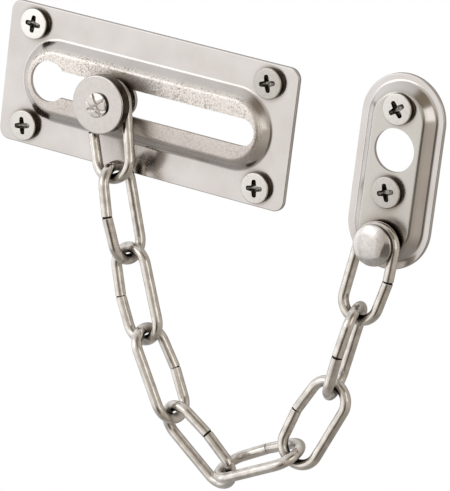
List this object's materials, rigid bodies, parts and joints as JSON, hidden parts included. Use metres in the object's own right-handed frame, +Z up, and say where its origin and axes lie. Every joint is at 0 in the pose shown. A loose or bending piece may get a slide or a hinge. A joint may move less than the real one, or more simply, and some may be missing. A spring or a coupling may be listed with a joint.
{
  "type": "door chain",
  "caption": "Surface-mounted door chain: pressed keyhole track plate, riveted slider, hanging wire-link chain and screwed anchor plate.",
  "frame": {"origin": "middle of the track plate's four screws, on the surface the plates are fixed to", "axes": "+X along the track towards the anchor plate, +Z up the door, +Y into the door and frame, so the fronts face -Y"},
  "size_m": [0.1478, 0.0312, 0.1346],
  "materials": {
    "plate_steel": "satin plated pressed sheet with a fine grain",
    "button_steel": "satin plated turned disc",
    "rivet_steel": "plated, peened over by hand",
    "screw_steel": "bright plated",
    "link_wire": "bright plated drawn wire, slightly worn"
  },
  "bodies": {
    "plates": {"track_plate": "plate_steel", "track_screws": "screw_steel", "anchor_plate": "plate_steel", "anchor_screws": "screw_steel", "anchor_rivet": "rivet_steel"},
    "slider": {"slider_stud": "rivet_steel", "slider_button": "button_steel"},
    "link_1": {"link_1": "link_wire"},
    "link_2": {"link_2": "link_wire"},
    "link_3": {"link_3": "link_wire"},
    "link_4": {"link_4": "link_wire"},
    "link_5": {"link_5": "link_wire"},
    "link_6": {"link_6": "link_wire"},
    "link_7": {"link_7": "link_wire"},
    "link_8": {"link_8": "link_wire"},
    "link_9": {"link_9": "link_wire"}
  },
  "joints": [
    {"name": "slider_slide", "type": "slide", "parent": "plates", "child": "slider", "axis": [1, 0, 0], "range_m": [-0.024, 0.0435]},
    {"name": "link_1_swing", "type": "hinge", "parent": "slider", "child": "link_1", "pos_m": [-0.0086, -0.0071, -0.0003], "axis": [0, -1, 0], "range_deg": [-22.88, 12.76]},
    {"name": "link_2_swing", "type": "hinge", "parent": "link_1", "child": "link_2", "pos_m": [-0.00301, -0.0099, -0.01811], "axis": [0, -1, 0], "range_deg": [-0.81, 1.22]},
    {"name": "link_3_swing", "type": "hinge", "parent": "link_2", "child": "link_3", "pos_m": [0.00534, -0.0087, -0.04491], "axis": [0, -1, 0], "range_deg": [-7.88, 14.03]},
    {"name": "link_4_swing", "type": "hinge", "parent": "link_3", "child": "link_4", "pos_m": [0.01345, -0.0093, -0.06427], "axis": [0, -1, 0], "range_deg": [-3.04, 5.26]},
    {"name": "link_5_swing", "type": "hinge", "parent": "link_4", "child": "link_5", "pos_m": [0.02791, -0.0094, -0.08837], "axis": [0, -1, 0], "range_deg": [-2.75, 4.74]},
    {"name": "link_6_swing", "type": "hinge", "parent": "link_5", "child": "link_6", "pos_m": [0.04455, -0.0087, -0.1003], "axis": [0, -1, 0], "range_deg": [-2.71, 4.66]},
    {"name": "link_7_swing", "type": "hinge", "parent": "link_6", "child": "link_7", "pos_m": [0.06938, -0.0089, -0.08716], "axis": [0, -1, 0], "range_deg": [-3.45, 6.01]},
    {"name": "link_8_swing", "type": "hinge", "parent": "link_7", "child": "link_8", "pos_m": [0.07681, -0.0076, -0.06796], "axis": [0, -1, 0], "range_deg": [-4.37, 7.68]},
    {"name": "link_9_swing", "type": "hinge", "parent": "link_8", "child": "link_9", "pos_m": [0.08185, -0.0075, -0.04031], "axis": [0, -1, 0], "range_deg": [-3.26, 5.66]}
  ],
  "couplings": [
    {"joint": "link_1_swing", "follows": "slider_slide", "rad_per_m": -9.06},
    {"joint": "link_2_swing", "follows": "slider_slide", "rad_per_m": 0.37},
    {"joint": "link_3_swing", "follows": "slider_slide", "rad_per_m": 5.51},
    {"joint": "link_4_swing", "follows": "slider_slide", "rad_per_m": 1.99},
    {"joint": "link_5_swing", "follows": "slider_slide", "rad_per_m": 1.78},
    {"joint": "link_6_swing", "follows": "slider_slide", "rad_per_m": 1.75},
    {"joint": "link_7_swing", "follows": "slider_slide", "rad_per_m": 2.29},
    {"joint": "link_8_swing", "follows": "slider_slide", "rad_per_m": 2.96},
    {"joint": "link_9_swing", "follows": "slider_slide", "rad_per_m": 2.15}
  ]
}
